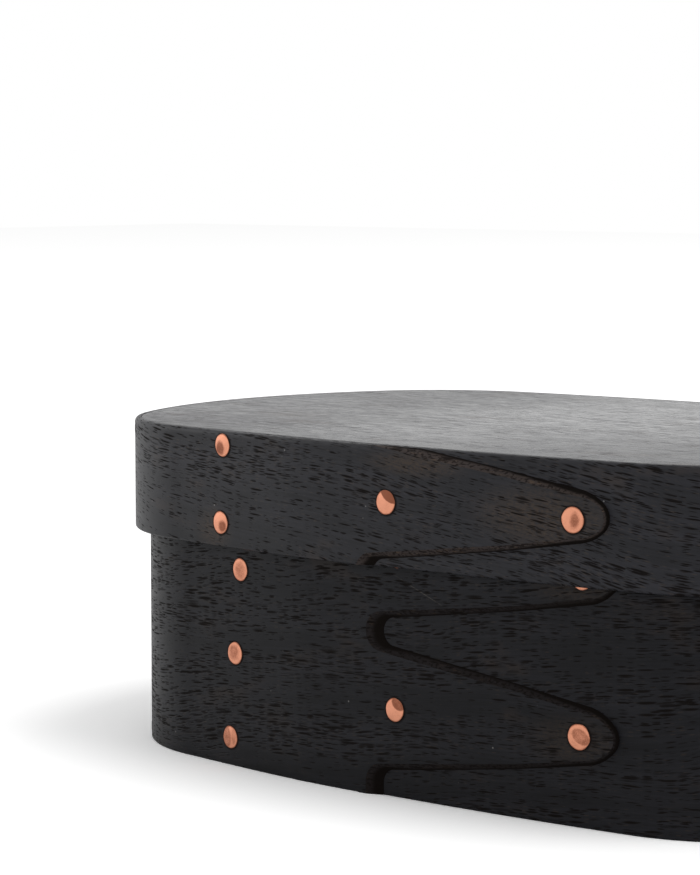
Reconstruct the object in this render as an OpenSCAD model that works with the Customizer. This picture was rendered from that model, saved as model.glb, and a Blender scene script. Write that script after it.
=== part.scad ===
// Oval bentwood box with a lift-off lid, lapped bands and clenched copper tacks.
// Millimetres. Origin: centre of the oval on the face the box stands on. +Z up,
// +X along the oval, -Y the side that carries the laps and the fingers.

/* [Oval] */
// Length of the box over its band, away from the lap
box_len = 154.2; // [140:0.1:190]
// Width of the box over its band, away from the lap
box_wid = 99.2; // [90:0.1:110]
// Outer radius of the long, nearly flat sides
side_r = 446; // [400:1:500]
// Outer radius of the tight shoulders
shoulder_r = 28.5; // [24:0.5:32]
// Outer radius of the two ends
end_r = 72; // [60:1:90]

/* [Bands] */
// Thickness of the box band
band_t = 1.15; // [1:0.05:1.4]
// Height of the box band
band_h = 53.8; // [50:0.1:70]
// Thickness of the lid band
lid_t = 1.15; // [1:0.05:1.4]
// Height of the lid band
lid_h = 19.8; // [18:0.1:22]
// Space between the two layers of a lap
lap_gap = 0.04; // [0.02:0.01:0.1]
// Room between the lid band and the tack heads it slides over
lid_room = 0.08; // [0.05:0.01:0.3]
// Space between the box rim and the underside of the lid board
seat_gap = 0.04; // [0.02:0.01:0.1]

/* [Lap] */
// Where the feathered inner end starts, along the side from its middle
feather_tip_s = -39.5; // [-40:0.5:-38]
// Where the inner end has its full thickness
feather_full_s = -18; // [-24:0.5:-14]
// Thickness left at the very edge of the feathered end
feather_tip_t = 0.2; // [0.15:0.05:0.3]
// Length over which the outer layer swings out before the feathered end
swing_len = 7.5; // [6:0.5:7.5]

/* [Fingers] */
// Middle of the rounded root of each notch
notch_s = 0.1; // [-0.5:0.1:1]
// Radius of the notch root on the outer face
notch_r = 3.3; // [3:0.1:3.6]
// Height from a box finger's middle line to the middle of the notch beside it
finger_pitch = 12.6; // [12.4:0.1:12.8]
// The same for the lid's finger
lid_pitch = 12.1; // [11.9:0.1:12.4]
// Height of the box fingers above the middle of their band
fingers_up = 0.4; // [0:0.1:0.8]
// Height of the lid finger above the middle of its band
lid_finger_up = 1.15; // [0.8:0.05:1.4]
// Where the two straight lengths of a finger edge meet
break_s = 27; // [25:0.5:29]
// Angle of the root length of an edge
root_slope = 7.3; // [6.8:0.1:7.6]
// Angle of the nose length of an edge
nose_slope = 9.2; // [8.6:0.1:9.6]
// Width of the bevel round a notch root and along the root length
root_bevel = 1.4; // [1.2:0.1:1.6]
// Width of the bevel along the nose length and round the nose
nose_bevel = 0.95; // [0.8:0.05:1.1]
// Where the arcs that bring the nose to a point leave the straight edges
nose_s = 39.8; // [39.4:0.1:40.2]
// Radius of those arcs
nose_arc_r = 7; // [6.8:0.1:7.4]
// Radius of the rounded point
nose_tip_r = 2; // [1.8:0.1:2.2]

/* [Boards] */
// Thickness of the bottom board
bottom_t = 4.2; // [3.5:0.1:5]
// Thickness of the lid board
lid_board_t = 4.2; // [3.5:0.1:5]
// Space between a board's edge and its band
board_fit = 0.03; // [0.02:0.01:0.06]

/* [Tacks] */
// Diameter of a copper head
head_d = 4.2; // [3.8:0.1:4.4]
// Thickness of the head at its rim
head_rim = 0.1; // [0.08:0.01:0.12]
// How far the middle of the head stands out
head_out = 0.25; // [0.2:0.01:0.3]
// Diameter of the shank
shank_d = 1; // [0.8:0.05:1.1]
// Thickness of the clenched point
clench_d = 0.7; // [0.5:0.05:0.7]
// Length of the clenched point
clench_len = 2.6; // [2:0.1:3]
// Space round a shank or a clenched point
tack_fit = 0.03; // [0.02:0.01:0.05]
// Space under a head and over a clenched point
face_fit = 0.02; // [0.01:0.01:0.04]
// Where the box's column of tacks stands at the middle of its band
column_s = -33.75; // [-35:0.25:-33]
// How far that column leans from upright
column_lean = 5.5; // [3:0.5:6]
// Where the lid's column of tacks stands at its middle
lid_column_s = -34.8; // [-36:0.2:-33]
// How far the lid's column leans
lid_column_lean = 2.4; // [1:0.2:4]
// Where the tack at a finger's root stands
root_s = 3.2; // [2:0.2:5]
// Where the tack at a finger's nose stands
nose_tack_s = 39.1; // [38:0.1:39.5]
// Height between two tacks of the box column
column_step = 14.65; // [14:0.05:15]
// Height between the two tacks of the lid column
lid_column_step = 13.25; // [12:0.05:14]
// Height of the lid's tacks above the middle of its band
lid_axis_up = 0.85; // [0.5:0.05:1]

/* [Pegs] */
// Diameter of a wooden peg
peg_d = 1.8; // [1.5:0.1:2]
// Length of a wooden peg
peg_len = 9; // [7:0.5:12]
// Space round a peg
peg_fit = 0.02; // [0.01:0.01:0.04]
// Clear depth past the inner end of a peg
peg_end_gap = 0.3; // [0.1:0.1:0.5]
// Arc distance of the outer pegs on the far side from its middle
peg_side_s = 46; // [40:1:50]
// Angle of the end pegs from the oval's long axis
peg_end_a = 14; // [10:1:18]
// Angle of the two near shoulder pegs from the oval's long axis
peg_shoulder_a = 47; // [40:1:55]

/* [Hidden] */
bottom_peg_names = [for (i = [1 : 9]) str("bottom_peg_", i)];
lid_peg_names = [for (i = [1 : 9]) str("lid_peg_", i)];
$fn = 96;

// The oval: side, shoulder and end arcs, all tangent, mirrored into four quarters.
ha = box_len / 2;
hb = box_wid / 2;
side_y = hb - side_r;
end_x = ha - end_r;
// The shoulder's middle lies at known distances from the middles of the two arcs beside it.
d_se = norm([end_x, side_y]);
a_se = (pow(side_r - shoulder_r, 2) - pow(end_r - shoulder_r, 2) + d_se * d_se) / (2 * d_se);
h_se = sqrt(pow(side_r - shoulder_r, 2) - a_se * a_se);
p = (a_se * end_x - h_se * side_y) / d_se;
q = side_y - (a_se * side_y + h_se * end_x) / d_se;
ts = atan2(q - side_y, p);
te = atan2(q, p - end_x);
far = 5 * hb;
edge_reach = hb;
lean = far * cos(ts) / sin(ts);

// Offsets of the lid band from the box band.
lid_in = lap_gap + band_t + head_out + lid_room;
lid_out = lid_in + lid_t;
lid_z0 = band_h + seat_gap + lid_board_t - lid_h;
total_h = band_h + seat_gap + lid_board_t;
lid_axis = lid_z0 + lid_h / 2 + lid_axis_up;
lid_finger_axis = lid_z0 + lid_h / 2 + lid_finger_up;
feather_slope = atan((band_t - feather_tip_t) / (feather_full_s - feather_tip_s));
wood = [0.16, 0.155, 0.16];
board_wood = [0.2, 0.195, 0.2];
copper = [0.78, 0.5, 0.4];
key_thin = 0.01;
key_in = 1.5;
key_out = 0.5;

echo(shoulder = [p, q], angles = [ts, te], lid_out = lid_out, total_h = total_h);

// ---------- the oval and its wall ----------

// The oval grown by o: nine pieces that share straight edges.
module oval(o) {
  polygon([[-p, -q], [p, -q], [p, q], [-p, q]]);
  for (m = [0, 1]) {
    mirror([0, m]) intersection() {
      translate([0, side_y]) circle(r = side_r + o, $fn = 200);
      polygon([[-p, q], [p, q], [p + lean, q + far], [-p - lean, q + far]]);
    }
    mirror([m, 0]) intersection() {
      translate([end_x, 0]) circle(r = end_r + o, $fn = 160);
      polygon([[p, -q], [p, q], [p + far, q + far * tan(te)], [p + far, -q - far * tan(te)]]);
    }
    for (n = [0, 1]) mirror([m, 0]) mirror([0, n]) intersection() {
      translate([p, q]) circle(r = shoulder_r + o, $fn = 120);
      polygon([[p, q], [p + far, q + far * tan(te)], [p + far, q + far],
        [p + lean, q + far]]);
    }
  }
}

// A place on the lap side: s along the side arc, r_o the arc's radius there, -Y outward.
module on_side(s, r_o) {
  translate([0, -side_y, 0]) rotate([0, 0, s / side_r * 180 / PI]) translate([0, -r_o, 0]) children();
}
function side_pt(s, r) = [r * sin(s / side_r * 180 / PI), -side_y - r * cos(s / side_r * 180 / PI)];

// Thickness of the inner layer under the lap, which is also how far the outer layer is pushed out.
function push(s, t) =
  s <= feather_tip_s - swing_len ? 0 :
  s < feather_tip_s ? (feather_tip_t + lap_gap) * smooth((s - feather_tip_s + swing_len) / swing_len) :
  s < feather_full_s ? feather_tip_t + lap_gap
    + (t - feather_tip_t) * (s - feather_tip_s) / (feather_full_s - feather_tip_s) :
  t + lap_gap;
function smooth(u) = u * u * (3 - 2 * u);

// Top of the feathered end, measured from the band's inner face, and straight on past both ends.
function feather_top(s, t) =
  feather_tip_t + (t - feather_tip_t) * (s - feather_tip_s) / (feather_full_s - feather_tip_s);
// How far a joining end of the swung-out layer is thinned so that it keys into the wall it joins.
function keyed(s) =
  key_thin * max(0, (feather_tip_s - swing_len + key_in - s) / 2, (s - feather_full_s + key_in) / 2);

// The outer layer as it swings out over the feathered end, in plan.
module swing_layer(r_in, t) {
  s0 = feather_tip_s - swing_len;
  ss = concat([s0 - key_out], [for (s = [s0 + key_in : 1.5 : feather_full_s - 1.3 * key_in]) s],
    [feather_full_s - key_in, feather_full_s + key_out]);
  n = len(ss) - 1;
  polygon(concat([for (s = ss) side_pt(s, r_in + push(s, t) + keyed(s))],
    [for (i = [n : -1 : 0]) side_pt(ss[i], r_in + push(ss[i], t) + t - keyed(ss[i]))]));
}

// What is pared off the inner end to feather it, in plan.
module pared_off(r_in, t) {
  ss = [for (s = [feather_tip_s - 0.5 : 2.5 : feather_full_s + 1.5]) s];
  n = len(ss) - 1;
  polygon(concat([for (s = ss) side_pt(s, r_in + feather_top(s, t))],
    [for (i = [n : -1 : 0]) side_pt(ss[i], r_in + 6 * t)]));
}

// A straight-sided slice of the lap side from s0 to s1, between two radii.
module side_slice(s0, s1, r0, r1) {
  polygon([side_pt(s0, r0), side_pt(s1, r0), side_pt(s1, r1), side_pt(s0, r1)]);
}

// Everything of the strip but the fingered outer layer: the single wall, the feathered
// inner end, and the outer layer as it swings out over it. Offset o, thickness t.
module strip_plan(o, t) {
  r_in = side_r + o - t;
  difference() {
    oval(o);
    oval(o - t);
    side_slice(feather_tip_s - swing_len, feather_tip_s, r_in - 3 * t, r_in + 4 * t);
    pared_off(r_in, t);
  }
  swing_layer(r_in, t);
}

// The outer layer past the feathered end, as a ring slice from s0 to s1.
module outer_layer(o, t, s0, s1, z0, h) {
  translate([0, 0, z0]) linear_extrude(height = h) intersection() {
    difference() {
      translate([0, -side_y]) circle(r = side_r + o + lap_gap + t, $fn = 200);
      translate([0, -side_y]) circle(r = side_r + o + lap_gap, $fn = 200);
    }
    side_slice(s0, s1, side_r + o - 4 * t, side_r + o + 6 * t);
  }
}

// ---------- fingers ----------

// A bevelled round, axis across the wall: radius r on the outer face,
// r + b on the inner face, which lies t further in.
module bevel_round(r, b, t) {
  translate([0, 2 * t, 0]) rotate([90, 0, 0]) cylinder(r1 = r + 2 * b, r2 = r - b, h = 3 * t, $fn = 96);
}

// All the wall below a bevelled edge line that climbs at angle a; b is the bevel's width.
module below_edge(a, b, t) {
  rotate([0, -a, 0]) rotate([90, 0, 90]) translate([0, 0, -edge_reach])
    linear_extrude(height = 2 * edge_reach)
      polygon([[-t, -b], [2 * t, 2 * b], [2 * t, -edge_reach], [-t, -edge_reach]]);
}

// Half-height of a notch where its straight edges start and where they change angle.
edge_root_h = notch_r / cos(root_slope);
edge_break_h = edge_root_h + (break_s - notch_s) * tan(root_slope);
// The nose: two arcs leave the straight edges and meet a small round at the point.
// Their middles lie arc_down past the finger's middle line, at arc_s.
arc_s = nose_s - nose_arc_r * sin(nose_slope);
function arc_down(pitch) = nose_arc_r * cos(nose_slope)
  - (pitch - edge_break_h - (nose_s - break_s) * tan(nose_slope));
function tip_s(pitch) = arc_s + sqrt(pow(nose_arc_r - nose_tip_r, 2) - pow(arc_down(pitch), 2));
function tip_a(pitch) = atan2(arc_down(pitch), tip_s(pitch) - arc_s);
nose_reach = nose_arc_r + nose_tip_r + 3 * nose_bevel;

// The wall between the upper and the lower edge line of a finger, at place s.
module between_edges(r_face, z, s, half, a, b, t) {
  on_side(s, r_face) intersection() {
    translate([0, 0, z + half]) below_edge(-a, b, t);
    translate([0, 0, z - half]) mirror([0, 0, 1]) below_edge(-a, b, t);
  }
}

// One finger about its middle line z, on a band of offset o and thickness t.
module finger(o, t, z, z0, h, pitch) {
  r_face = side_r + o + lap_gap + t;
  down = arc_down(pitch);
  point_s = tip_s(pitch);
  mid_root = (notch_s + break_s) / 2;
  mid_nose = (break_s + nose_s) / 2;
  intersection() {
    outer_layer(o, t, notch_s, break_s, z0, h);
    between_edges(r_face, z, mid_root,
      pitch - edge_root_h - (mid_root - notch_s) * tan(root_slope), root_slope, root_bevel, t);
  }
  intersection() {
    outer_layer(o, t, break_s, nose_s, z0, h);
    between_edges(r_face, z, mid_nose,
      pitch - edge_break_h - (mid_nose - break_s) * tan(nose_slope), nose_slope, nose_bevel, t);
  }
  difference() {
    intersection() {
      outer_layer(o, t, nose_s, nose_s + nose_reach, z0, h);
      on_side(arc_s, r_face) translate([0, 0, z + down]) bevel_round(nose_arc_r, nose_bevel, t);
      on_side(arc_s, r_face) translate([0, 0, z - down]) bevel_round(nose_arc_r, nose_bevel, t);
    }
    on_side(point_s, r_face) translate([0, nose_reach, z]) rotate([90, 0, 0])
      linear_extrude(height = 2 * nose_reach) polygon([[0, 0],
        nose_reach * [cos(tip_a(pitch)), -sin(tip_a(pitch))], [2 * nose_reach, 0],
        nose_reach * [cos(tip_a(pitch)), sin(tip_a(pitch))]]);
  }
  intersection() {
    outer_layer(o, t, nose_s, nose_s + nose_reach, z0, h);
    on_side(point_s, r_face) translate([0, 0, z]) bevel_round(nose_tip_r, nose_bevel, t);
  }
}

// ---------- the two bands ----------

// A band bent from one strip: offset o, thickness t, from z0, height h, a finger about each z in axes,
// and pitch from a finger's middle line to the notches beside it.
module band(o, t, z0, h, axes, pitch) {
  r_face = side_r + o + lap_gap + t;
  notches = concat([for (z = axes) z - pitch], [axes[len(axes) - 1] + pitch]);
  translate([0, 0, z0]) linear_extrude(height = h) strip_plan(o, t);
  difference() {
    outer_layer(o, t, feather_full_s, notch_s, z0, h);
    for (z = notches) on_side(notch_s, r_face) translate([0, 0, z]) bevel_round(notch_r, -root_bevel, t);
  }
  for (z = axes) finger(o, t, z, z0, h, pitch);
}

// ---------- tacks ----------

// Height of the wall a tack goes through: both layers, measured square to the band.
function wall_at(s, t) = push(s, t) + t;
// A tack's place: s along the side, height z; tilted with the outer layer over the feathered end.
module tack_place(o, t, s, z) {
  on_side(s, side_r + o + push(s, t)) translate([0, 0, z])
    rotate([0, 0, s < feather_full_s ? -feather_slope : 0]) children();
}
dome_h = head_out - head_rim;
dome_r = (dome_h * dome_h + head_d * head_d / 4) / (2 * dome_h);

// A copper tack: a low domed head, a shank through both layers, its point clenched over and hammered flush.
module tack(o, t, s, z) {
  deep = wall_at(s, t) - face_fit - clench_d / 2;
  tack_place(o, t, s, z) {
    rotate([90, 0, 0]) translate([0, 0, face_fit]) rotate_extrude($fn = 120) intersection() {
      square([head_d / 2, head_out]);
      translate([0, head_out - dome_r]) circle(r = dome_r, $fn = 1440);
    }
    translate([0, deep, 0]) {
      rotate([90, 0, 0]) cylinder(d = shank_d, h = deep + face_fit + head_rim / 2, $fn = 32);
      rotate([0, 90, 0]) cylinder(d = clench_d, h = clench_len, $fn = 24);
    }
  }
}

// The hole a tack leaves: round through the wall, with a slot on the inside for the clenched point.
module tack_hole(o, t, s, z) {
  w = wall_at(s, t);
  slot_w = clench_d + 2 * tack_fit;
  slot_deep = clench_d + face_fit + tack_fit;
  tack_place(o, t, s, z) {
    translate([0, w + 1, 0]) rotate([90, 0, 0]) cylinder(d = shank_d + 2 * tack_fit, h = w + 2, $fn = 32);
    translate([-shank_d / 2, w - slot_deep, -slot_w / 2])
      cube([shank_d / 2 + clench_len + tack_fit, slot_deep + 1, slot_w]);
  }
}

box_mid = band_h / 2;
box_low_axis = box_mid + fingers_up - finger_pitch;
box_high_axis = box_mid + fingers_up + finger_pitch;
function column_z(i) = box_mid + (i - 2.5) * column_step;
function lid_column_z(i) = lid_axis + (i - 1.5) * lid_column_step;
function column_at(i) = column_s + (column_z(i) - box_mid) * tan(column_lean);
function lid_column_at(i) = lid_column_s + (lid_column_z(i) - lid_axis) * tan(lid_column_lean);

// ---------- boards and pegs ----------

// Where each of nine pegs goes in; children point outward along +X from the band's outer face.
module peg_place(i, o) {
  if (i <= 4) mirror([i > 2 ? 1 : 0, 0, 0]) translate([end_x, 0, 0])
    rotate([0, 0, i % 2 == 0 ? peg_end_a : -peg_end_a]) translate([end_r + o, 0, 0]) children();
  if (i > 4 && i <= 7)
    mirror([0, 1, 0]) on_side((i - 6) * peg_side_s, side_r + o) rotate([0, 0, -90]) children();
  if (i > 7) mirror([i - 8, 0, 0]) translate([p, -q, 0]) rotate([0, 0, -peg_shoulder_a])
    translate([shoulder_r + o, 0, 0]) children();
}
module peg(i, o, z) {
  peg_place(i, o) translate([-peg_len, 0, z]) rotate([0, 90, 0]) cylinder(d = peg_d, h = peg_len, $fn = 32);
}
module peg_hole(i, o, z) {
  peg_place(i, o) translate([-peg_len - peg_end_gap, 0, z]) rotate([0, 90, 0])
    cylinder(d = peg_d + 2 * peg_fit, h = peg_len + peg_end_gap + 3, $fn = 32);
}
// A board cut to the oval inside a band of offset o and thickness t, drilled for its pegs.
module board(o, t, z0, h) {
  difference() {
    translate([0, 0, z0]) linear_extrude(height = h) oval(o - t - board_fit);
    for (i = [1 : 9]) peg_hole(i, o, z0 + h / 2);
  }
}
bottom_peg_z = bottom_t / 2;
lid_peg_z = total_h - lid_board_t / 2;

// ---------- nodes ----------

module box_band() color(wood) difference() {
  band(0, band_t, 0, band_h, [box_low_axis, box_high_axis], finger_pitch);
  for (i = [1 : 4]) tack_hole(0, band_t, column_at(i), column_z(i));
  for (z = [box_low_axis, box_high_axis], s = [root_s, nose_tack_s]) tack_hole(0, band_t, s, z);
  for (i = [1 : 9]) peg_hole(i, 0, bottom_peg_z);
}
module lid_band() color(wood) difference() {
  band(lid_out, lid_t, lid_z0, lid_h, [lid_finger_axis], lid_pitch);
  for (i = [1 : 2]) tack_hole(lid_out, lid_t, lid_column_at(i), lid_column_z(i));
  for (s = [root_s, nose_tack_s]) tack_hole(lid_out, lid_t, s, lid_axis);
  for (i = [1 : 9]) peg_hole(i, lid_out, lid_peg_z);
}
module bottom_board() color(board_wood) board(0, band_t, 0, bottom_t);
module lid_board() color(board_wood) board(lid_out, lid_t, total_h - lid_board_t, lid_board_t);
module box_tack(s, z) color(copper) tack(0, band_t, s, z);
module lid_tack(s, z) color(copper) tack(lid_out, lid_t, s, z);
module bottom_peg(i) color(wood) peg(i, 0, bottom_peg_z);
module lid_peg(i) color(wood) peg(i, lid_out, lid_peg_z);

box_band();
bottom_board();
lid_band();
lid_board();
box_tack(column_at(1), column_z(1));  // box_column_tack_1
box_tack(column_at(2), column_z(2));  // box_column_tack_2
box_tack(column_at(3), column_z(3));  // box_column_tack_3
box_tack(column_at(4), column_z(4));  // box_column_tack_4
box_tack(root_s, box_low_axis);  // box_lower_root_tack
box_tack(nose_tack_s, box_low_axis);  // box_lower_nose_tack
box_tack(root_s, box_high_axis);  // box_upper_root_tack
box_tack(nose_tack_s, box_high_axis);  // box_upper_nose_tack
lid_tack(lid_column_at(1), lid_column_z(1));  // lid_column_tack_1
lid_tack(lid_column_at(2), lid_column_z(2));  // lid_column_tack_2
lid_tack(root_s, lid_axis);  // lid_root_tack
lid_tack(nose_tack_s, lid_axis);  // lid_nose_tack
for (i = [1 : 9]) bottom_peg(i);
for (i = [1 : 9]) lid_peg(i);
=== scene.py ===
import math

import bmesh
import bpy
from mathutils import Matrix, Vector


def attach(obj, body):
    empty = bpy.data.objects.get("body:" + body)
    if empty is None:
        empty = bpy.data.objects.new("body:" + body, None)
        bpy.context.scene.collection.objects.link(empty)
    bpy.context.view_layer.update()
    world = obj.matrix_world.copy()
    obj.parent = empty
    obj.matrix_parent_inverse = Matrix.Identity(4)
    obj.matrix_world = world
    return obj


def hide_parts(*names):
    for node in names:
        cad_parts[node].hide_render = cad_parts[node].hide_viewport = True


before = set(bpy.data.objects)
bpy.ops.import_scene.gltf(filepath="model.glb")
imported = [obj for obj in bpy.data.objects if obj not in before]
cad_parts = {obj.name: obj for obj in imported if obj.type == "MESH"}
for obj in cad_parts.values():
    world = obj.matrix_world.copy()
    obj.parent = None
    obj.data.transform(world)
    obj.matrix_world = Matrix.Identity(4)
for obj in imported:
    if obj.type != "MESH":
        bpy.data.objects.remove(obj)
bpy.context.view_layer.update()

# ---------------------------------------------------------------------------
# The band of the box: one strip of thin wood, stained near black, steamed and bent round
# an oval former. Its inner end is feathered, and its outer end, cut into bevelled
# fingers, lies over it.
# ---------------------------------------------------------------------------
# Lengths are millimetres. A mesh is scaled to metres when it is finished.
to_metres = 0.001
right_angle = math.pi / 2

# The former is an oval of eight arcs. A shoulder's middle is found from the side's and the
# end's, as its arc runs into both.
side_r, shoulder_r, end_r = 446.0, 28.5, 72.0
half_len, half_wid = 77.1, 49.6
side_y = half_wid - side_r
end_x = half_len - end_r
from_side, from_end = side_r - shoulder_r, end_r - shoulder_r
middles_apart = math.hypot(end_x, side_y)
foot_at = (from_side ** 2 - from_end ** 2 + middles_apart ** 2) / (2 * middles_apart)
foot_off = math.sqrt(from_side ** 2 - foot_at ** 2)
shoulder_x = (foot_at * end_x - foot_off * side_y) / middles_apart
shoulder_y = side_y - (foot_at * side_y + foot_off * end_x) / middles_apart
side_turn = math.atan2(shoulder_x, shoulder_y - side_y)
end_turn = math.atan2(shoulder_y, shoulder_x - end_x)

# The arcs from the middle of the near side, anticlockwise: the middle, the radius, the
# number of steps the strip takes over it, and where its outward direction starts and stops.
near, far, left = -right_angle, right_angle, 2 * right_angle
arcs = [
    ((0, -side_y), side_r, 14, near, near + side_turn),
    ((shoulder_x, -shoulder_y), shoulder_r, 26, near + side_turn, -end_turn),
    ((end_x, 0), end_r, 34, -end_turn, end_turn),
    ((shoulder_x, shoulder_y), shoulder_r, 26, end_turn, far - side_turn),
    ((0, side_y), side_r, 30, far - side_turn, far + side_turn),
    ((-shoulder_x, shoulder_y), shoulder_r, 26, far + side_turn, left - end_turn),
    ((-end_x, 0), end_r, 34, left - end_turn, left + end_turn),
    ((-shoulder_x, -shoulder_y), shoulder_r, 26, left + end_turn, 3 * right_angle - side_turn),
    ((0, -side_y), side_r, 14, 3 * right_angle - side_turn, 3 * right_angle)]
round_once = sum(r * (stop - start) for _, r, _, start, stop in arcs)


def on_former(s, out):
    """The point out from the former at s along it, and the outward direction there."""
    s %= round_once
    for middle, r, _, start, stop in arcs:
        if s <= r * (stop - start) + 1e-6:
            break
        s -= r * (stop - start)
    turn = start + s / r
    way = Vector((math.cos(turn), math.sin(turn), 0))
    return Vector((*middle, 0)) + (r + out) * way, way


# The lap, along the side from its middle. The inner end is pared from feather_full to its
# tip, and the outer layer swings out before it.
strip_t, lap_gap = 1.15, 0.04
feather_tip, feather_full, feather_t, swing = -39.5, -18.0, 0.2, 7.5


def pared_t(s):
    """The thickness of the inner end at s."""
    pared = min(1, max(0, (s - feather_tip) / (feather_full - feather_tip)))
    return feather_t + (strip_t - feather_t) * pared


def swung_out(s):
    """How far the outer layer is pushed out by the inner end under it."""
    if s < feather_tip - swing:
        return 0.0
    if s < feather_tip:
        u = (s - feather_tip + swing) / swing
        return (feather_t + lap_gap) * u * u * (3 - 2 * u)
    return pared_t(s) + lap_gap


# A finger's edges: a round notch root, two straight lengths, and a nose of two arcs that
# meet in a small round.
notch_s, notch_r, break_s, nose_s = 0.1, 3.3, 27.0, 39.8
root_slope, nose_turn = math.tan(math.radians(7.3)), math.radians(9.2)
nose_arc_r, nose_tip_r = 7.0, 2.0
root_h = notch_r * math.hypot(1, root_slope)
break_h = root_h + (break_s - notch_s) * root_slope
arc_s = nose_s - nose_arc_r * math.sin(nose_turn)
nose_h = break_h + (nose_s - break_s) * math.tan(nose_turn)

# The knife's bevel: broad and leaning back in the notch, upright from lean_s on, and
# narrower from narrow_s to the nose and its tip.
deep_notch_s, deep_notch_r, lean_s = 2.1, 2.4, 10.0
root_bevel, narrow_s, nose_bevel, tip_bevel = 1.17, 8.0, 0.95, 0.4
knife_round, inner_round = 0.14, 0.15


def notch_edge(kind, value):
    """A place on a notch's upper edge, from its middle line, and the bevel's foot below it."""
    if kind == "root":
        way = Vector((-math.cos(value), math.sin(value)))
        deep_edge = Vector((deep_notch_s, 0)) + deep_notch_r * way
        return Vector((notch_s, 0)) + notch_r * way, deep_edge
    if value > break_s:
        h = break_h + (value - break_s) * math.tan(nose_turn)
    else:
        h = root_h + (value - notch_s) * root_slope
    lean = max(0, (deep_notch_s - notch_s) * (1 - (value - notch_s) / lean_s))
    narrowed = min(1, max(0, value - narrow_s) / (break_s - narrow_s))
    wide = root_bevel + (nose_bevel - root_bevel) * narrowed
    return Vector((value, h)), Vector((value + lean, h + lean * root_slope - wide))


def nose_place(g, f, pitch, deep):
    """A place on the nose: g from its start to its tip, f from its lower to its upper edge."""
    half = pitch - nose_h
    down = nose_arc_r * math.cos(nose_turn) - half
    tip_s = arc_s + math.sqrt((nose_arc_r - nose_tip_r) ** 2 - down ** 2)
    tip_turn = math.atan2(down, tip_s - arc_s)

    def edge(g, up):
        r = nose_arc_r + (nose_bevel if deep else (nose_bevel - tip_bevel) * g)
        turn = right_angle - nose_turn + (tip_turn - right_angle + nose_turn) * g
        return Vector((arc_s + r * math.cos(turn), up * (r * math.sin(turn) - down)))

    def tip(f):
        r = nose_tip_r + (nose_bevel if deep else nose_bevel - tip_bevel)
        return Vector((tip_s + r * math.cos(tip_turn * f), r * math.sin(tip_turn * f)))

    up, low = (1 + f) / 2, (1 - f) / 2
    sides = up * edge(g, 1) + low * edge(g, -1)
    return sides + g * (tip(f) - up * edge(1, 1) - low * edge(1, -1))


def strip_places():
    """The sheet's columns along the strip, from the feathered tip to the notch, closer
    together where the lap is."""
    places = [feather_tip + 2.15 * k for k in range(10)]
    places += [feather_full + 2.2 * k for k in range(30)]
    walked = 0.0
    for _, r, steps, start, stop in arcs:
        length = r * (stop - start)
        spots = [walked + length * k / steps for k in range(steps)]
        places += [s for s in spots if 48 < s < round_once - 48.5]
        walked += length
    lapped = [-48 + 1.15 * k for k in range(27)] + [-16.5 + 1.9 * k for k in range(7)]
    return places + [round_once + s for s in lapped]


def finger_steps(notches, height):
    """The sheet's columns over the fingers: by turn, by place and by part of the nose."""
    # A notch beyond the strip's edge only bites it from some way on.
    beyond = [abs(n - max(0, min(height, n))) for n in notches if not 0 < n < height]
    turns = [math.asin(b / notch_r) for b in beyond if b < notch_r]
    turns += [right_angle * k / 12 for k in range(13)]
    spots = [notch_s + (b - root_h) / root_slope for b in beyond if b > root_h]
    spots += [1.2, 2.6, 4.3, 6.5, 9, 11.7, 14.5, 17.7, 21, 24, break_s]
    spots += [29.6, 32, 34.6, 37.2, nose_s]
    steps = [("root", turn) for turn in sorted(turns)] + [("edge", s) for s in sorted(spots)]
    return steps + [("nose", k / 14) for k in range(1, 15)]


def cut_sheet(columns, first, rows, cuts):
    """A flat sheet of squares, cut from column first on along the rows of the notches, whose
    corners know their column, their row and their finger."""
    work = bmesh.new()
    bmesh.ops.create_grid(work, x_segments=columns - 1, y_segments=rows - 1, size=1)
    for layer in ("column", "row", "finger", "deep"):
        work.verts.layers.int.new(layer)
    column, row, finger, _ = work.verts.layers.int.values()
    for v in work.verts:
        v[column] = round((v.co.x + 1) / 2 * (columns - 1))
        v[row] = round((v.co.y + 1) / 2 * (rows - 1))
    low, high = (cuts[0], cuts[-1]) if cuts else (0, rows - 1)
    over = [f for f in work.faces if min(v[column] for v in f.verts) >= first
            and (max(v[row] for v in f.verts) <= low or min(v[row] for v in f.verts) >= high)]
    bmesh.ops.delete(work, geom=over, context="FACES")
    slits = [e for e in work.edges if min(v[column] for v in e.verts) >= first
             and all(v[row] in cuts[1:-1] for v in e.verts)]
    bmesh.ops.split_edges(work, edges=slits)
    for v in work.verts:
        middle = sum(w[row] for f in v.link_faces for w in f.verts) / (4 * len(v.link_faces))
        v[finger] = sum(1 for n in cuts[1:-1] if middle > n)
    return work


def rounded(work, edges, wide, steps):
    """Rub edges round by wide."""
    bmesh.ops.bevel(work, geom=edges, affect="EDGES", offset=wide, segments=steps, profile=0.5,
                    clamp_overlap=True, material=-1)


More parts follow.
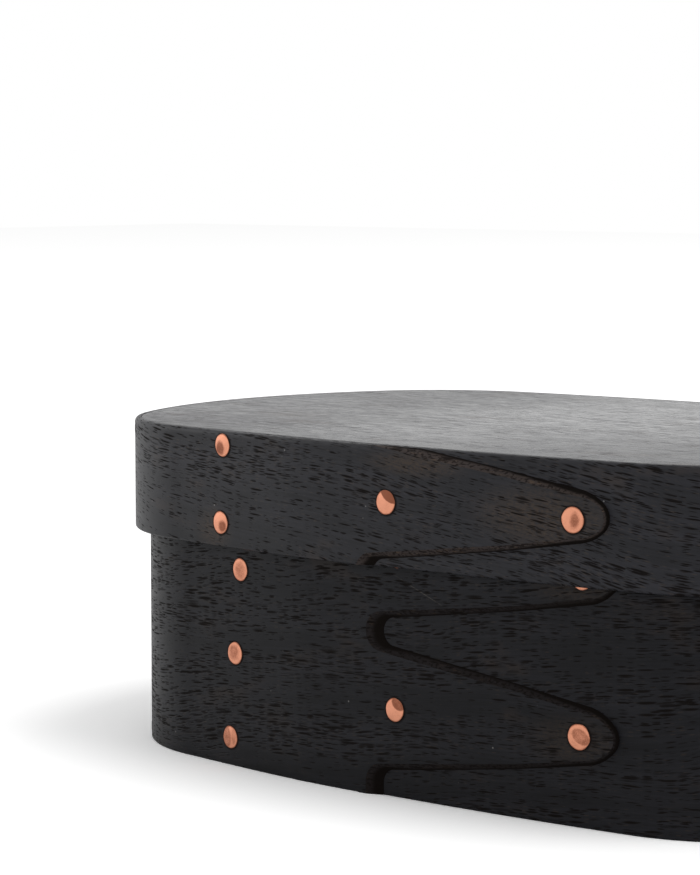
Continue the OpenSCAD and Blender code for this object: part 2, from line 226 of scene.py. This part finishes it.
def bent_strip(name, out, foot, height, axes, pitch, top_round, foot_round):
    """A band: a flat sheet cut into fingers, thickened, bevelled and bent round the former."""
    notches = [axes[0] - pitch] + [axis + pitch for axis in axes]
    inside = [n for n in notches if 0 < n < height]
    marks = sorted([0.0, height] + inside)
    rows = [0.0]
    for low, high in zip(marks, marks[1:]):
        n = 2 if high - low < 3 else 16
        rows += [low + (high - low) * k / n for k in range(1, n + 1)]
    places, steps = strip_places(), finger_steps(notches, height)
    first = len(places)
    cuts = [rows.index(n) for n in inside]
    work = cut_sheet(first + len(steps), first, len(rows), cuts)
    column, row, finger, deep = work.verts.layers.int.values()

    def laid(v):
        """Where a corner lies on the flat strip. Only the rims of a finger reach further
        on the inner face than on the outer one."""
        i, j = v[column], v[row]
        if i < first:
            return Vector((places[i], rows[j]))
        if i == first and cuts and not cuts[0] <= j <= cuts[-1]:
            back = deep_notch_s - deep_notch_r if v[deep] else notch_s - notch_r
            return Vector((round_once + back, rows[j]))
        low, high = notches[v[finger]], notches[v[finger] + 1]
        j_low = rows.index(low) if low in rows else 0
        j_high = rows.index(high) if high in rows else len(rows) - 1
        f = 2 * (j - j_low) / (j_high - j_low) - 1
        kind, value = steps[i - first]
        rim = abs(f) == 1 or (kind == "nose" and value == 1)
        if kind == "nose":
            spot = nose_place(value, f, pitch, v[deep] and rim)
            return spot + Vector((round_once, axes[v[finger]]))
        edge = notch_edge(kind, value)[1 if v[deep] and rim else 0]
        v_low, v_high = max(0, low + edge.y), min(height, high - edge.y)
        return Vector((round_once + edge.x, v_low + (v_high - v_low) * (f + 1) / 2))

    grown = bmesh.ops.extrude_face_region(work, geom=work.faces[:], use_keep_orig=True)["geom"]
    for v in grown:
        if isinstance(v, bmesh.types.BMVert):
            v[deep] = 1
    for v in work.verts:
        v.co = (*laid(v), 0 if v[deep] else strip_t)
    bmesh.ops.recalc_face_normals(work, faces=work.faces[:])
    # The end grain laid open by the knife is a finish of its own, and carries painted shade.
    for f in work.faces:
        both_faces = len({v[deep] for v in f.verts}) == 2
        f.material_index = 1 if both_faces and abs(f.normal.z) > 0.1 else 0

    def straight(e, y):
        return all(abs(v.co.y - y) < 1e-4 for v in e.verts)

    outer = [e for e in work.edges if e.is_manifold and all(not v[deep] for v in e.verts)
             and any(v[deep] for f in e.link_faces for v in f.verts)]
    knifed = [e for e in outer if any(f.material_index for f in e.link_faces)]
    tops = [e for e in outer if straight(e, height) and e not in knifed]
    feet = [e for e in outer if straight(e, 0) and e not in knifed]
    for edges, wide, n in ((knifed, knife_round, 2), (tops, top_round, 4), (feet, foot_round, 3)):
        rounded(work, [e for e in edges if e.is_valid], wide, n)
    inner = [e for e in work.edges if e.is_manifold and all(v.co.z < 1e-5 for v in e.verts)
             and (straight(e, 0) or straight(e, height))]
    rounded(work, inner, inner_round, 2)

    # The grain runs along the flat strip, so its pattern's coordinates are taken before it is
    # bent. So is how deep under the outer face a corner lies, which places the painted shadow
    # line at the foot of a knifed edge.
    grain = work.loops.layers.uv.new("grain")
    for f in work.faces:
        for loop in f.loops:
            co = loop.vert.co
            down = 0 if f.material_index else strip_t - co.z
            loop[grain].uv = (co.x * to_metres, (co.y + foot + down) * to_metres)
    under = work.verts.layers.float.new("under")
    for v in work.verts:
        s, z, thick = v.co
        v[under] = 1 - thick / strip_t
        push = 0.0
        if s < round_once / 2:
            thick *= pared_t(s) / strip_t
        else:
            push = swung_out(s - round_once)
        place, _ = on_former(s, out - strip_t + push + thick)
        v.co = Vector((place.x, place.y, foot + z)) * to_metres
    bmesh.ops.recalc_face_normals(work, faces=work.faces[:])
    return finished(name, work, 32)


def finished(name, work, crease):
    """The worked mesh as a piece, shaded smooth but for edges sharper than crease degrees."""
    for f in work.faces:
        f.smooth = True
    for e in work.edges:
        e.smooth = e.calc_face_angle(0) < math.radians(crease)
    mesh = bpy.data.meshes.new(name)
    work.to_mesh(mesh)
    work.free()
    piece = bpy.data.objects.new(name, mesh)
    bpy.context.collection.objects.link(piece)
    return piece


class Value:
    """A socket that Python's operators work on. The sign | takes the larger of two."""
    def __init__(self, paint, socket):
        self.paint, self.socket = paint, socket

    def math(self, kind, a, b=0.0):
        return self.paint.node("ShaderNodeMath", {"operation": kind}, {0: a, 1: b})

    def __add__(self, other): return self.math("ADD", self, other)
    def __radd__(self, other): return self.math("ADD", other, self)
    def __sub__(self, other): return self.math("SUBTRACT", self, other)
    def __rsub__(self, other): return self.math("SUBTRACT", other, self)
    def __mul__(self, other): return self.math("MULTIPLY", self, other)
    def __rmul__(self, other): return self.math("MULTIPLY", other, self)
    def __or__(self, other): return self.math("MAXIMUM", self, other)
    def __ror__(self, other): return self.math("MAXIMUM", other, self)
    def __abs__(self): return self.math("ABSOLUTE", self)


class Paint:
    """The nodes of a material or of the world."""
    def __init__(self, owner, shader="Principled BSDF"):
        owner.use_nodes = True
        self.owner, self.tree = owner, owner.node_tree
        self.shader = self.tree.nodes[shader]

    def node(self, kind, settings, inputs, *outs):
        """A new node. Gives its first output, or those that outs names."""
        made = self.tree.nodes.new(kind)
        for key, value in settings.items():
            setattr(made, key, value)
        for key, value in inputs.items():
            self.feed(made.inputs[key], value)
        found = [Value(self, made.outputs[key]) for key in outs or (0,)]
        return found if len(found) > 1 else found[0]

    def feed(self, socket, value):
        if isinstance(value, Value):
            self.tree.links.new(value.socket, socket)
        else:
            socket.default_value = value

    def set(self, **sockets):
        for key, value in sockets.items():
            self.feed(self.shader.inputs[key.replace("_", " ")], value)

    def vector(self, kind, a, b):
        """A sum on vectors, which for a distance or a dot product gives a number."""
        out = "Value" if kind in ("DISTANCE", "DOT_PRODUCT") else "Vector"
        return self.node("ShaderNodeVectorMath", {"operation": kind}, {0: a, 1: b}, out)

    def stretched(self, where, x, y, z=1.0):
        return self.vector("MULTIPLY", where, (x, y, z))

    def noise(self, where, detail=2.0, rough=0.5):
        return self.node("ShaderNodeTexNoise", {},
                         {"Vector": where, "Scale": 1.0, "Detail": detail, "Roughness": rough})

    def between(self, value, low, high, to_low=0.0, to_high=1.0):
        """Eased from to_low at low to to_high at high, and level beyond them."""
        return self.node("ShaderNodeMapRange", {"interpolation_type": "SMOOTHSTEP"},
                         {"Value": value, "From Min": low, "From Max": high,
                          "To Min": to_low, "To Max": to_high})

    def mixed(self, amount, a, b):
        return self.node("ShaderNodeMix", {"data_type": "RGBA"}, {0: amount, 6: a, 7: b}, 2)


# Stains and dirt, before a piece's own tone, and the black of pores and of painted shade.
black_stain, worn_stain = (0.0062, 0.0063, 0.0086), (0.0265, 0.0265, 0.034)
brown_stain, fleck_stain = (0.052, 0.034, 0.023), (0.075, 0.050, 0.032)
dust_grey, scratch_pale = (0.35, 0.34, 0.33), (0.10, 0.088, 0.075)
pore_and_shade_black = (0.0050, 0.0036, 0.0030)


def on_strip(s, z):
    """A place on a strip's outer face, as its grain coordinates say it."""
    return ((round_once + s) * to_metres, z * to_metres, 0)


def stained_wood(name, laid, turn=0.0, tone=1.0, pores=1.0, rough=0.36, spread=0.1, sheen=0.25,
                 fibres=(70, 2600), earthy=0.0, knifed=False, brown=(), head_shadows=(), scratches=()):
    """Open-grained wood stained near black. laid says where its grain runs: a strip's own
    coordinates, or the object's X. turn slants the grain, tone lightens the stain, pores
    widens them, rough and spread are the polish at its best and how much it varies, and
    earthy browns it. Scales are repeats in a metre, along and across the grain. knifed
    paints shade into a knifed edge. brown, the tacks' painted head shadows and scratches
    are marks on a strip: each starts with its place along and up."""
    paint = Paint(bpy.data.materials.new(name))
    if laid == "strip":
        at = paint.node("ShaderNodeUVMap", {"uv_map": "grain"}, {})
    else:
        at = paint.node("ShaderNodeTexCoord", {}, {}, "Object")
    sway = paint.noise(paint.stretched(at, 22, 60, 60), 1.0)
    turned = paint.node("ShaderNodeMapping", {}, {"Vector": at, "Rotation": (0, 0, turn)})
    drift = paint.node("ShaderNodeCombineXYZ", {}, {"Y": (sway - 0.5) * 0.006})
    at_grain = paint.vector("ADD", turned, drift)
    rings = paint.noise(paint.stretched(at_grain, 9, 170, 170), 3.0, 0.6)
    fibre = paint.noise(paint.stretched(at_grain, fibres[0], fibres[1], fibres[1]), 4.0, 0.75)
    cloud = paint.noise(paint.stretched(at, 60, 130, 130), 3.0, 0.6)
    crumb = paint.noise(paint.stretched(at, 1500, 2600, 2600), 2.0, 0.6)

    def dashes(long, wide, shift, keep, width):
        """Short ragged marks along the grain, thicker in some years' wood than in others."""
        bent = paint.node("ShaderNodeCombineXYZ", {},
                          {"X": shift, "Y": (fibre - 0.5) * 0.5 + shift, "Z": shift})
        ragged = paint.vector("ADD", paint.stretched(at_grain, long, wide, wide), bent)
        apart, cell = paint.node("ShaderNodeTexVoronoi", {}, {"Vector": ragged, "Scale": 1.0},
                                 "Distance", "Color")
        pick, black = paint.node("ShaderNodeSeparateColor", {}, {0: cell}, 0, 1)
        year = (rings - 0.5) * 1.5 + (cloud - 0.5) * 0.8
        size = paint.between(pick + year, keep, 1.1, 0.0, width)
        return paint.between(apart, size, size * 0.45) * paint.between(black, 0.0, 0.6, 0.35, 1.0)

    # Open pores: short dashes along the grain, closer together in the early wood.
    pore = dashes(290, 2700, 0.0, 0.25, 0.68 * pores) | dashes(520, 4300, 7.3, 0.1, 0.68 * pores)
    fleck = dashes(700, 4800, 3.1, 0.35 - 0.4 * earthy, 0.55)
    dust = paint.between(paint.node("ShaderNodeTexVoronoi", {}, {"Vector": at, "Scale": 190.0}),
                         0.035, 0.02)

    def toned(colour):
        return (*(c * tone for c in colour), 1)

    shade = paint.between(fibre * 0.42 + rings * 0.43 + cloud * 0.25, 0.4, 0.72)
    stain = paint.mixed(shade, toned(black_stain), toned(worn_stain))
    warm = paint.between(cloud, 0.55, 0.72, earthy * 0.5, 0.4 + earthy * 0.4)
    # Round some tacks the stain has gone brown, in an oval patch.
    for s, z, half_long, half_high, much in brown:
        apart = paint.vector("DISTANCE", paint.stretched(at, 1000 / half_long, 1000 / half_high),
                             ((round_once + s) / half_long, z / half_high, 0))
        patchy = paint.between(fibre * 0.5 + crumb * 0.5, 0.35, 0.6)
        warm = warm | paint.between(apart, 1.0, 0.2, 0.0, much) * patchy
    stain = paint.mixed(warm, stain, toned(brown_stain))
    stain = paint.mixed(fleck * (0.35 + 0.35 * earthy), stain, toned(fleck_stain))
    stain = paint.mixed(dust * 0.35, stain, (*dust_grey, 1))
    # A scratch: a faint line that fades at its ends.
    for s, z, long, up, wide in scratches:
        apart = paint.vector("SUBTRACT", at, on_strip(s, z))
        along = abs(paint.vector("DOT_PRODUCT", apart, (math.cos(up), math.sin(up), 0)))
        across = abs(paint.vector("DOT_PRODUCT", apart, (-math.sin(up), math.cos(up), 0)))
        mark = paint.between(across, wide * to_metres, 0)
        mark = mark * paint.between(along, long * to_metres / 2, long * to_metres / 4)
        mark = mark * paint.between(fibre, 0.4, 0.6, 0.1, 0.5)
        stain = paint.mixed(mark, stain, (*scratch_pale, 1))

    bump = paint.node("ShaderNodeBump", {}, {"Strength": 0.5, "Distance": 0.00012,
                                             "Height": fibre * 0.25 + cloud * 0.2 - pore})
    shine = paint.between(fibre * 0.8 + cloud * 0.2, 0.32, 0.68, rough, rough + spread)
    if laid == "object":
        # A board's polish is not even from end to end.
        along = paint.node("ShaderNodeSeparateXYZ", {}, {0: at})
        shine = shine + paint.between(along, 0.0, -0.055, 0.0, 0.12)
    paint.set(Base_Color=stain, Normal=bump, Roughness=shine, Specular_IOR_Level=sheen)

    # A pore is a dry hollow: nearly black, and it gives back no light. The same black is painted
    # shade in two places: a shadow line where a knifed edge meets the layer under it, and a
    # shadow ring round a tack's head.
    pore_and_shade_mask = pore * (0.92 if pores >= 0.8 else 0.5)
    if knifed:
        under = paint.node("ShaderNodeAttribute", {"attribute_name": "under"}, {}, 2)
        along = paint.node("ShaderNodeSeparateXYZ", {}, {0: at})
        # Painted shade makes it darkest round the nose and in the notch, where it also stands for
        # dark residue of the cut.
        for start, full in ((26, 41), (7, -2)):
            start, full = on_strip(start, 0)[0], on_strip(full, 0)[0]
            under = under + paint.between(along, start, full, 0.0, 0.4)
        # A painted shadow line along the foot of the knifed edge, ragged with the grain.
        pore_and_shade_mask = pore_and_shade_mask | paint.between(under + (fibre - 0.5) * 0.5 + (cloud - 0.5) * 0.4, 0.6, 0.95)
        pore_and_shade_mask = pore_and_shade_mask | paint.between(crumb + (fibre - 0.5) * 0.4, 0.5, 0.6, 0.0, 0.75)
    # Painted shadow: a dark ring round each tack's head, set a little right of and below it.
    for s, z, r in head_shadows:
        apart = paint.vector("DISTANCE", at, on_strip(s + 0.06, z - 0.05))
        clear, shadow_full = (r + 0.55) * to_metres, (r + 0.05) * to_metres
        pore_and_shade_mask = pore_and_shade_mask | paint.between(apart, clear, shadow_full, 0.0, 0.85)
    pore_and_shade_shader = paint.node("ShaderNodeBsdfPrincipled", {},
                        {"Base Color": (*pore_and_shade_black, 1), "Roughness": 0.9,
                         "Specular IOR Level": 0.05})
    both = paint.node("ShaderNodeMixShader", {},
                      {0: pore_and_shade_mask, 1: Value(paint, paint.shader.outputs[0]), 2: pore_and_shade_shader})
    paint.feed(paint.tree.nodes["Material Output"].inputs["Surface"], both)
    return paint.owner


box_band = bent_strip("box_wall", out=0.0, foot=0.0, height=53.8, axes=[14.7, 39.9], pitch=12.6,
                      top_round=0.35, foot_round=0.3)
box_band.data.materials.append(stained_wood(
    "box_wall_wood", "strip", turn=-0.07, tone=0.45, pores=1.12, sheen=0.14,
    brown=[(38, 13.7, 12, 5.5, 0.75), (38, 38.9, 12, 5.5, 0.75)],
    # Painted shadow rings round the tack heads, at each head's place and radius:
    head_shadows=[(-35.8, 4.88, 1.85), (-34.46, 19.65, 1.85), (-33.0, 34.225, 1.85),
           (3.05, 14.72, 1.88), (38.95, 14.65, 2.0)],
    scratches=[(7.8, 34.8, 12.2, -0.39, 0.14)]))
box_band.data.materials.append(stained_wood(
    "box_bevel_wood", "strip", turn=0.03, tone=0.5, pores=0.9, rough=0.65, sheen=0.08,
    earthy=0.5, knifed=True))
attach(box_band, "box")
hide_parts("box_band")

# ---------------------------------------------------------------------------
# The bottom: a thin oval board of the same stained wood, sprung into the foot of the
# box band and held by nine wooden pegs driven in from outside.
# ---------------------------------------------------------------------------
board_t, board_gap = 4.2, 0.03


def oval_board(name, out, foot, round_over):
    """A board cut to the oval, out from the former, its edges eased."""
    work = bmesh.new()
    bmesh.ops.create_circle(work, cap_ends=True, segments=260, radius=1)
    for v in work.verts:
        part = math.atan2(v.co.y, v.co.x) % (2 * math.pi) / (2 * math.pi)
        place, _ = on_former(round_once * part, out)
        v.co = Vector((place.x, place.y, foot))
    rise = bmesh.ops.extrude_face_region(work, geom=work.faces[:], use_keep_orig=True)["geom"]
    top = [g for g in rise if isinstance(g, bmesh.types.BMVert)]
    bmesh.ops.translate(work, verts=top, vec=(0, 0, board_t))
    bmesh.ops.recalc_face_normals(work, faces=work.faces[:])
    rims = [e for e in work.edges if len({round(v.co.z, 3) for v in e.verts}) == 1]
    rounded(work, rims, round_over, 3)
    bmesh.ops.scale(work, verts=work.verts[:], vec=(to_metres, to_metres, to_metres))
    return finished(name, work, 40)


board_wood = stained_wood("board_wood", "object", tone=0.9, pores=0.79, rough=0.15, spread=0.21,
                          sheen=0.6, fibres=(150, 950))
bottom = oval_board("bottom_oval", out=-strip_t - board_gap, foot=0.0, round_over=0.3)
bottom.data.materials.append(board_wood)
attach(bottom, "box")
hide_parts("bottom_board")

peg_r, peg_len, peg_proud = 0.9, 9.0, 0.03
end_peg_turn, back_peg_step, near_peg_turn = math.radians(14), 46 / side_r, math.radians(-47)
peg_wood = stained_wood("peg_wood", "object", tone=0.6, pores=0.8, rough=0.5, sheen=0.15)


def peg(name, place, way):
    """A round peg, driven flush and rubbed down: its end stands a hair proud."""
    work = bmesh.new()
    bmesh.ops.create_circle(work, cap_ends=True, segments=24, radius=peg_r)
    rise = bmesh.ops.extrude_face_region(work, geom=work.faces[:], use_keep_orig=True)["geom"]
    top = [g for g in rise if isinstance(g, bmesh.types.BMVert)]
    bmesh.ops.translate(work, verts=top, vec=(0, 0, peg_len + peg_proud))
    bmesh.ops.recalc_face_normals(work, faces=work.faces[:])
    rounded(work, [e for e in work.edges if all(v in top for v in e.verts)], 0.12, 2)
    stand = way.to_track_quat("Z", "Y").to_matrix().to_4x4()
    stand.translation = place - way * peg_len
    bmesh.ops.transform(work, matrix=Matrix.Scale(to_metres, 4) @ stand, verts=work.verts[:])
    return finished(name, work, 40)


def pegs(kind, out, height, body):
    """Nine pegs: two at each end, three along the back and one at each near shoulder."""
    holes = [((flip * end_x, 0), end_r, flip, turn)
             for flip in (1, -1) for turn in (-end_peg_turn, end_peg_turn)]
    holes += [((0, side_y), side_r, 1, right_angle - k * back_peg_step) for k in (-1, 0, 1)]
    holes += [((flip * shoulder_x, -shoulder_y), shoulder_r, flip, near_peg_turn)
              for flip in (1, -1)]
    for n, (middle, r, flip, turn) in enumerate(holes, 1):
        way = Vector((flip * math.cos(turn), math.sin(turn), 0))
        piece = peg("%s_peg_end_%d" % (kind, n), Vector((*middle, height)) + way * (r + out), way)
        piece.data.materials.append(peg_wood)
        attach(piece, body)
        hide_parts("%s_peg_%d" % (kind, n))


pegs("bottom", 0.0, board_t / 2, "box")

# ---------------------------------------------------------------------------
# The lid's band: a shorter strip of the same wood, bent round the box with room to
# slide. One finger lies over its lap, and its rims are rubbed round.
# ---------------------------------------------------------------------------
lid_out, lid_foot, lid_top = 2.67, 38.24, 58.04
lid_band = bent_strip("lid_wall", out=lid_out, foot=lid_foot, height=lid_top - lid_foot,
                      axes=[49.29 - lid_foot], pitch=12.1, top_round=0.8, foot_round=0.45)
lid_band.data.materials.append(stained_wood(
    "lid_wall_wood", "strip", turn=0.12, tone=0.72, pores=1.03, sheen=0.225,
    brown=[(34, 48.7, 17, 6.5, 0.9), (9, 55.5, 13, 2.8, 0.9), (-37, 41, 6, 5, 0.8)],
    # Painted shadow rings round the tack heads, at each head's place and radius:
    head_shadows=[(-34.52, 55.615, 1.87), (-35.08, 42.365, 1.87),
           (3.3, 48.95, 1.92), (39.2, 48.85, 2.0)]))
lid_band.data.materials.append(stained_wood(
    "lid_bevel_wood", "strip", turn=0.03, tone=1.05, pores=0.9, rough=0.6, sheen=0.14,
    earthy=0.8, knifed=True))
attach(lid_band, "lid")
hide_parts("lid_band")

# ---------------------------------------------------------------------------
# The lid's board: an oval board like the bottom, polished, let in flush with the rim of
# the lid's band and held by nine pegs of its own.
# ---------------------------------------------------------------------------
lid_board = oval_board("lid_oval", out=lid_out - strip_t - board_gap, foot=lid_top - board_t,
                       round_over=0.22)
lid_board.data.materials.append(board_wood)
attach(lid_board, "lid")
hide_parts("lid_board")
pegs("lid", lid_out, lid_top - board_t / 2, "lid")

# ---------------------------------------------------------------------------
# The tacks: copper, driven through both layers of a lap onto an iron, which turns the
# point over inside. The heads keep the hammer's flats, some bright and some dull, and
# their rims are darkened with painted shade.
# ---------------------------------------------------------------------------
copper = Paint(bpy.data.materials.new("hammered_copper"))
at = copper.node("ShaderNodeTexCoord", {}, {}, "Object")
# The attribute holds the flats' dullness and the painted shade at the head's rim.
dull_and_shade_part = copper.node("ShaderNodeAttribute", {"attribute_name": "dull_and_rim_shade"}, {}, 2)
fine = copper.noise(copper.stretched(at, 5200, 5200, 5200), 3.0, 0.7)
broad = copper.noise(copper.stretched(at, 900, 900, 900), 2.0)
worn_and_shaded = copper.between(dull_and_shade_part + (broad - 0.5) * 0.6 + (fine - 0.5) * 0.8, -0.12, 0.95)
bright_copper, dull_and_shaded_copper = (0.77, 0.325, 0.198, 1), (0.26, 0.085, 0.043, 1)
dents = copper.node("ShaderNodeBump", {}, {"Strength": 0.5, "Distance": 0.00006,
                                           "Height": fine * 0.6 + broad})
copper.set(Base_Color=copper.mixed(worn_and_shaded, bright_copper, dull_and_shaded_copper), Metallic=0.75, Normal=dents,
           Roughness=copper.between(worn_and_shaded, 0, 1, 0.42, 0.62))

# The head: a rim, a low crown on it drawn in ring by ring, how deep a flat is beaten, and
# how dark the painted shade on its rim is.
rim_h, crown_foot, crown_h, flat_deep, rim_shade = 0.12, 0.09, 0.17, 0.05, 0.75
crown_rings = (0.97, 0.95, 0.94, 0.92, 0.91, 0.9, 0.88, 0.86, 0.84, 0.8, 0.75, 0.7, 0.6, 0.4)
shank_r, point_r, point_tip_r, point_len, point_flat = 0.5, 0.42, 0.16, 2.9, 0.35


def tack(name, node, body, s, z, head_r, flats, uneven):
    """One tack: its head on the outer layer, its shank, its point turned over inside."""
    out = lid_out if body == "lid" else 0.0
    here, _ = on_former(s, out + swung_out(s))
    ahead, _ = on_former(s + 1, out + swung_out(s + 1))
    rightwards = (ahead - here).normalized()
    outwards = rightwards.cross(Vector((0, 0, 1)))
    stand = Matrix((rightwards, (0, 0, 1), outwards)).transposed().to_4x4()
    stand.translation = here + Vector((0, 0, z))
    work = bmesh.new()
    bmesh.ops.create_circle(work, cap_ends=True, segments=64, radius=head_r)
    for v in work.verts:
        turn = math.atan2(v.co.y, v.co.x)
        grow = 1 + sum(much * math.cos(waves * turn + start) for waves, much, start in uneven)
        v.co.x *= grow
        v.co.y *= grow
    rise = bmesh.ops.extrude_face_region(work, geom=work.faces[:], use_keep_orig=True)["geom"]
    crown = [g for g in rise if isinstance(g, bmesh.types.BMFace)]
    top = [g for g in rise if isinstance(g, bmesh.types.BMVert)]
    bmesh.ops.translate(work, verts=top, vec=(0, 0, rim_h))
    for ring in crown_rings:
        grown = bmesh.ops.extrude_face_region(work, geom=crown)["geom"]
        bmesh.ops.delete(work, geom=[f for f in crown if f.is_valid], context="FACES_ONLY")
        crown = [g for g in grown if isinstance(g, bmesh.types.BMFace)]
        bmesh.ops.scale(work, verts=crown[0].verts[:], vec=(ring, ring, 1))
    dull_and_rim_shade = work.verts.layers.float.new("dull_and_rim_shade")
    for v in work.verts:
        r = math.hypot(v.co.x, v.co.y) / head_r
        # Painted shade darkens the outer tenth of the head towards its edge.
        v[dull_and_rim_shade] = rim_shade * min(1, max(0, (r - 0.9) / 0.1))
        if v.co.z < rim_h / 2:
            continue
        v.co.z = crown_foot + crown_h * (1 - r * r)
        for x, y, wide, high, turn, much, soft in flats:
            turn = math.radians(turn)
            dx, dy = v.co.x / head_r - x, v.co.y / head_r - y
            u = dx * math.cos(turn) + dy * math.sin(turn)
            w = dy * math.cos(turn) - dx * math.sin(turn)
            inside = min(1, max(0, (1 + soft / 2 - math.hypot(u / wide, w / high)) / soft))
            v[dull_and_rim_shade] = max(v[dull_and_rim_shade], much * inside)
            v.co.z -= flat_deep * inside
    bmesh.ops.recalc_face_normals(work, faces=work.faces[:])
    # The shank and the turned point, flattened into the inner face.
    wall = swung_out(s) + strip_t
    bmesh.ops.create_cone(work, cap_ends=True, segments=16, radius1=shank_r, radius2=shank_r,
                          depth=wall, matrix=Matrix.Translation((0, 0, -wall / 2)))
    point = bmesh.ops.create_cone(work, cap_ends=True, segments=14, radius1=point_r,
                                  radius2=point_tip_r, depth=point_len)["verts"]
    bmesh.ops.rotate(work, verts=point, cent=(0, 0, 0),
                     matrix=Matrix.Rotation(right_angle, 3, "Y"))
    bmesh.ops.scale(work, verts=point, vec=(1, 1, point_flat))
    bmesh.ops.translate(work, verts=point, vec=(1.15, 0, 0.1 - wall))
    bmesh.ops.transform(work, matrix=Matrix.Scale(to_metres, 4) @ stand, verts=work.verts[:])
    piece = finished(name, work, 50)
    piece.data.materials.append(copper.owner)
    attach(piece, body)
    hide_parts(node)


# Each tack: its body, place along and up, and its head's radius. Then its flats: middle x and
# y, half width and half height as parts of the radius, degrees turned, how dull, how soft its
# edge. Then what makes its outline uneven: waves round it, how much, where they start.
tacks = [
    ("lid_column_tack_2", "lid", -34.52, 55.615, 1.88,
     [(-0.25, -0.3, 0.55, 0.65, 10, 0.8, 0.6)], [(2, 0.04, 3.1), (3, 0.012, 1.0), (5, 0.01, 0.3)]),
    ("lid_column_tack_1", "lid", -35.08, 42.365, 1.88,
     [(0.32, -0.32, 0.5, 0.5, 0, 0.8, 0.6)], [(2, 0.03, 2.9), (3, 0.02, 0.2), (7, 0.006, 0.0)]),
    ("lid_root_tack", "lid", 3.3, 48.95, 1.94,
     [(0.62, 0.88, 1.25, 0.85, -28, 1.0, 0.06)],
     [(2, 0.025, 3.1), (3, 0.012, 0.5), (6, 0.006, 0.0)]),
    ("lid_nose_tack", "lid", 39.2, 48.85, 2.02,
     [(0.2, -0.05, 0.38, 0.64, -8, 0.6, 0.7)],
     [(2, 0.012, 3.0), (4, 0.012, 0.5), (6, 0.008, 0.0)]),
    ("box_column_tack_4", "box", -31.64, 48.875, 1.88,
     [(0.2, 0.4, 0.5, 0.4, 0, 0.5, 0.4)], [(2, 0.02, 0.0), (5, 0.01, 1.0)]),
    ("box_column_tack_3", "box", -33.0, 34.225, 1.88,
     [(0.0, -0.1, 0.7, 0.8, 0, 0.45, 0.8)], [(2, 0.04, 3.1), (3, 0.012, 0.4), (6, 0.008, 1.0)]),
    ("box_column_tack_2", "box", -34.46, 19.65, 1.88,
     [(-0.1, 0.1, 0.7, 0.7, 0, 0.5, 0.7)], [(2, 0.03, 3.3), (3, 0.015, 2.0), (5, 0.01, 0.0)]),
    ("box_column_tack_1", "box", -35.8, 4.88, 1.88,
     [(-0.42, 0.0, 0.6, 0.95, 8, 0.5, 0.3), (0.55, 0.1, 0.3, 0.8, 0, 0.3, 0.4)],
     [(2, 0.03, 2.9), (3, 0.02, 1.0), (6, 0.008, 0.0)]),
    ("box_upper_root_tack", "box", 3.4, 39.95, 1.9,
     [(0.4, 0.4, 0.6, 0.5, -30, 0.6, 0.2)], [(2, 0.02, 3.0), (5, 0.01, 0.0)]),
    ("box_upper_nose_tack", "box", 39.25, 39.66, 2.0,
     [(-0.3, 0.3, 0.6, 0.6, 20, 0.5, 0.3)], [(2, 0.02, 0.3), (5, 0.01, 1.0)]),
    ("box_lower_root_tack", "box", 3.05, 14.72, 1.88,
     [(0.42, 0.55, 0.75, 0.5, -28, 0.8, 0.2)], [(2, 0.03, 2.9), (3, 0.012, 0.0), (6, 0.008, 2.0)]),
    ("box_lower_nose_tack", "box", 38.95, 14.65, 2.02,
     [(0.2, 0.02, 0.85, 0.55, -30, 0.5, 0.18)],
     [(2, 0.02, 2.8), (5, 0.014, 1.0), (6, 0.008, 0.5)])]
for node, *rest in tacks:
    tack(node + "_copper", node, *rest)

# ---------------------------------------------------------------------------
# The plain white paper it stands on, light from a high window at the right and a little
# from a low one at the left, and the camera at the photograph's place.
# ---------------------------------------------------------------------------
work = bmesh.new()
bmesh.ops.create_grid(work, x_segments=8, y_segments=8, size=3.0)
floor = finished("floor", work, 30)
paper = Paint(bpy.data.materials.new("white_paper"))
seen = paper.node("ShaderNodeLightPath", {}, {}, "Is Camera Ray")
paper.set(Base_Color=paper.mixed(seen, (0.9, 0.9, 0.9, 1), (1.24, 1.24, 1.24, 1)), Roughness=0.9,
          Specular_IOR_Level=0.0)
floor.data.materials.append(paper.owner)

studio = bpy.data.worlds.new("studio")
bpy.context.scene.world = studio
sky = Paint(studio, "Background")
seen, mirrored, passed = sky.node("ShaderNodeLightPath", {}, {},
                                  "Is Camera Ray", "Is Glossy Ray", "Is Transmission Ray")
sky.set(Color=(1, 1, 1, 1), Strength=0.75 + (seen | mirrored | passed) * 0.25)


def window(name, size, watts, place):
    """A square of soft light, turned to the box."""
    lamp = bpy.data.lights.new(name, "AREA")
    lamp.shape, lamp.size, lamp.energy = "SQUARE", size, watts
    stand = bpy.data.objects.new(name, lamp)
    bpy.context.collection.objects.link(stand)
    stand.location = place
    aim = Vector((0, 0, 0.03)) - stand.location
    stand.rotation_euler = aim.to_track_quat("-Z", "Y").to_euler()


window("window", 1.3, 26.0, (1.24, 0.34, 2.7))
window("side_window", 0.5, 1.0, (-0.75, -0.35, 0.3))

lens = bpy.data.cameras.new("camera")
lens.sensor_width, lens.sensor_fit, lens.lens = 36.0, "AUTO", 122.0
lens.clip_start, lens.clip_end = 0.01, 20
camera = bpy.data.objects.new("camera", lens)
bpy.context.collection.objects.link(camera)
yaw, down = -0.7162, 0.094
look = Vector((math.sin(yaw) * math.cos(down), math.cos(yaw) * math.cos(down), -math.sin(down)))
camera.location = Vector((5.3423, -7.144, 1.7936)) * lid_top * to_metres
camera.rotation_euler = look.to_track_quat("-Z", "Y").to_euler()
bpy.context.scene.camera = camera
bpy.context.scene.view_settings.view_transform = "Standard"
